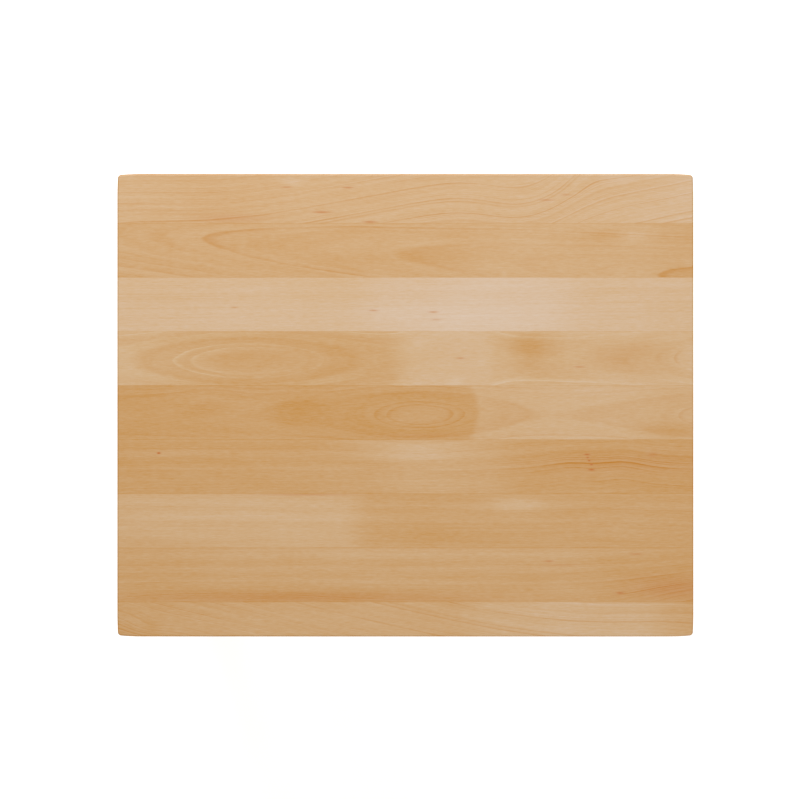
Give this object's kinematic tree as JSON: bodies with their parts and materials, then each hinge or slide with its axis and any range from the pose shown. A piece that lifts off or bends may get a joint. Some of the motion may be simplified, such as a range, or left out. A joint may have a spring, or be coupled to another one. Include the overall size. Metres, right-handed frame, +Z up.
{
  "type": "butcher block table",
  "caption": "Rectangular butcher block table: an edge-glued hardwood top of full-length staves on tapered legs with aprons and levelling glides.",
  "frame": {"origin": "on the floor, under the middle of the top", "axes": "+Z up, +X along the staves and the length of the top, -Y towards the front, where the narrowest stave is"},
  "size_m": [0.762, 0.612, 0.75],
  "materials": {
    "top_wood": "light beech-like hardwood, clear satin varnish",
    "base_wood": "the same hardwood, clear satin varnish",
    "fixing_wood": "the same hardwood, sanded and unvarnished",
    "screw_steel": "zinc-plated steel",
    "glide_steel": "zinc-plated steel",
    "pad_plastic": "moulded black nylon"
  },
  "bodies": {
    "table": {"top_stave_1": "top_wood", "top_stave_2": "top_wood", "top_stave_3": "top_wood", "top_stave_4": "top_wood", "top_stave_5": "top_wood", "top_stave_6": "top_wood", "top_stave_7": "top_wood", "top_stave_8": "top_wood", "top_stave_9": "top_wood", "leg_front_left": "base_wood", "leg_front_right": "base_wood", "leg_back_left": "base_wood", "leg_back_right": "base_wood", "apron_front": "base_wood", "apron_back": "base_wood", "apron_left": "base_wood", "apron_right": "base_wood", "corner_block_front_left": "fixing_wood", "corner_block_front_right": "fixing_wood", "corner_block_back_left": "fixing_wood", "corner_block_back_right": "fixing_wood", "block_screw_front_left_long": "screw_steel", "block_screw_front_left_short": "screw_steel", "block_screw_front_right_long": "screw_steel", "block_screw_front_right_short": "screw_steel", "block_screw_back_left_long": "screw_steel", "block_screw_back_left_short": "screw_steel", "block_screw_back_right_long": "screw_steel", "block_screw_back_right_short": "screw_steel", "top_button_front_left": "fixing_wood", "top_button_screw_front_left": "screw_steel", "top_button_front_right": "fixing_wood", "top_button_screw_front_right": "screw_steel", "top_button_back_left": "fixing_wood", "top_button_screw_back_left": "screw_steel", "top_button_back_right": "fixing_wood", "top_button_screw_back_right": "screw_steel", "top_button_left": "fixing_wood", "top_button_screw_left": "screw_steel", "top_button_right": "fixing_wood", "top_button_screw_right": "screw_steel", "glide_insert_front_left": "glide_steel", "glide_insert_front_right": "glide_steel", "glide_insert_back_left": "glide_steel", "glide_insert_back_right": "glide_steel"},
    "pad_front_left": {"glide_pad_front_left": "pad_plastic"},
    "stem_front_left": {"glide_stem_front_left": "glide_steel"},
    "pad_front_right": {"glide_pad_front_right": "pad_plastic"},
    "stem_front_right": {"glide_stem_front_right": "glide_steel"},
    "pad_back_left": {"glide_pad_back_left": "pad_plastic"},
    "stem_back_left": {"glide_stem_back_left": "glide_steel"},
    "pad_back_right": {"glide_pad_back_right": "pad_plastic"},
    "stem_back_right": {"glide_stem_back_right": "glide_steel"}
  },
  "joints": [
    {"name": "glide_travel_front_left", "type": "slide", "parent": "table", "child": "pad_front_left", "axis": [0, 0, -1], "range_m": [0, 0.01]},
    {"name": "glide_turn_front_left", "type": "hinge", "parent": "pad_front_left", "child": "stem_front_left", "pos_m": [-0.327, -0.252, 0.012], "axis": [0, 0, -1], "range_deg": [0, 2880]},
    {"name": "glide_travel_front_right", "type": "slide", "parent": "table", "child": "pad_front_right", "axis": [0, 0, -1], "range_m": [0, 0.01]},
    {"name": "glide_turn_front_right", "type": "hinge", "parent": "pad_front_right", "child": "stem_front_right", "pos_m": [0.327, -0.252, 0.012], "axis": [0, 0, -1], "range_deg": [0, 2880]},
    {"name": "glide_travel_back_left", "type": "slide", "parent": "table", "child": "pad_back_left", "axis": [0, 0, -1], "range_m": [0, 0.01]},
    {"name": "glide_turn_back_left", "type": "hinge", "parent": "pad_back_left", "child": "stem_back_left", "pos_m": [-0.327, 0.252, 0.012], "axis": [0, 0, -1], "range_deg": [0, 2880]},
    {"name": "glide_travel_back_right", "type": "slide", "parent": "table", "child": "pad_back_right", "axis": [0, 0, -1], "range_m": [0, 0.01]},
    {"name": "glide_turn_back_right", "type": "hinge", "parent": "pad_back_right", "child": "stem_back_right", "pos_m": [0.327, 0.252, 0.012], "axis": [0, 0, -1], "range_deg": [0, 2880]}
  ],
  "couplings": [
    {"joint": "glide_travel_front_left", "follows": "glide_turn_front_left", "m_per_rad": 0.00019894},
    {"joint": "glide_travel_front_right", "follows": "glide_turn_front_right", "m_per_rad": 0.00019894},
    {"joint": "glide_travel_back_left", "follows": "glide_turn_back_left", "m_per_rad": 0.00019894},
    {"joint": "glide_travel_back_right", "follows": "glide_turn_back_right", "m_per_rad": 0.00019894}
  ]
}
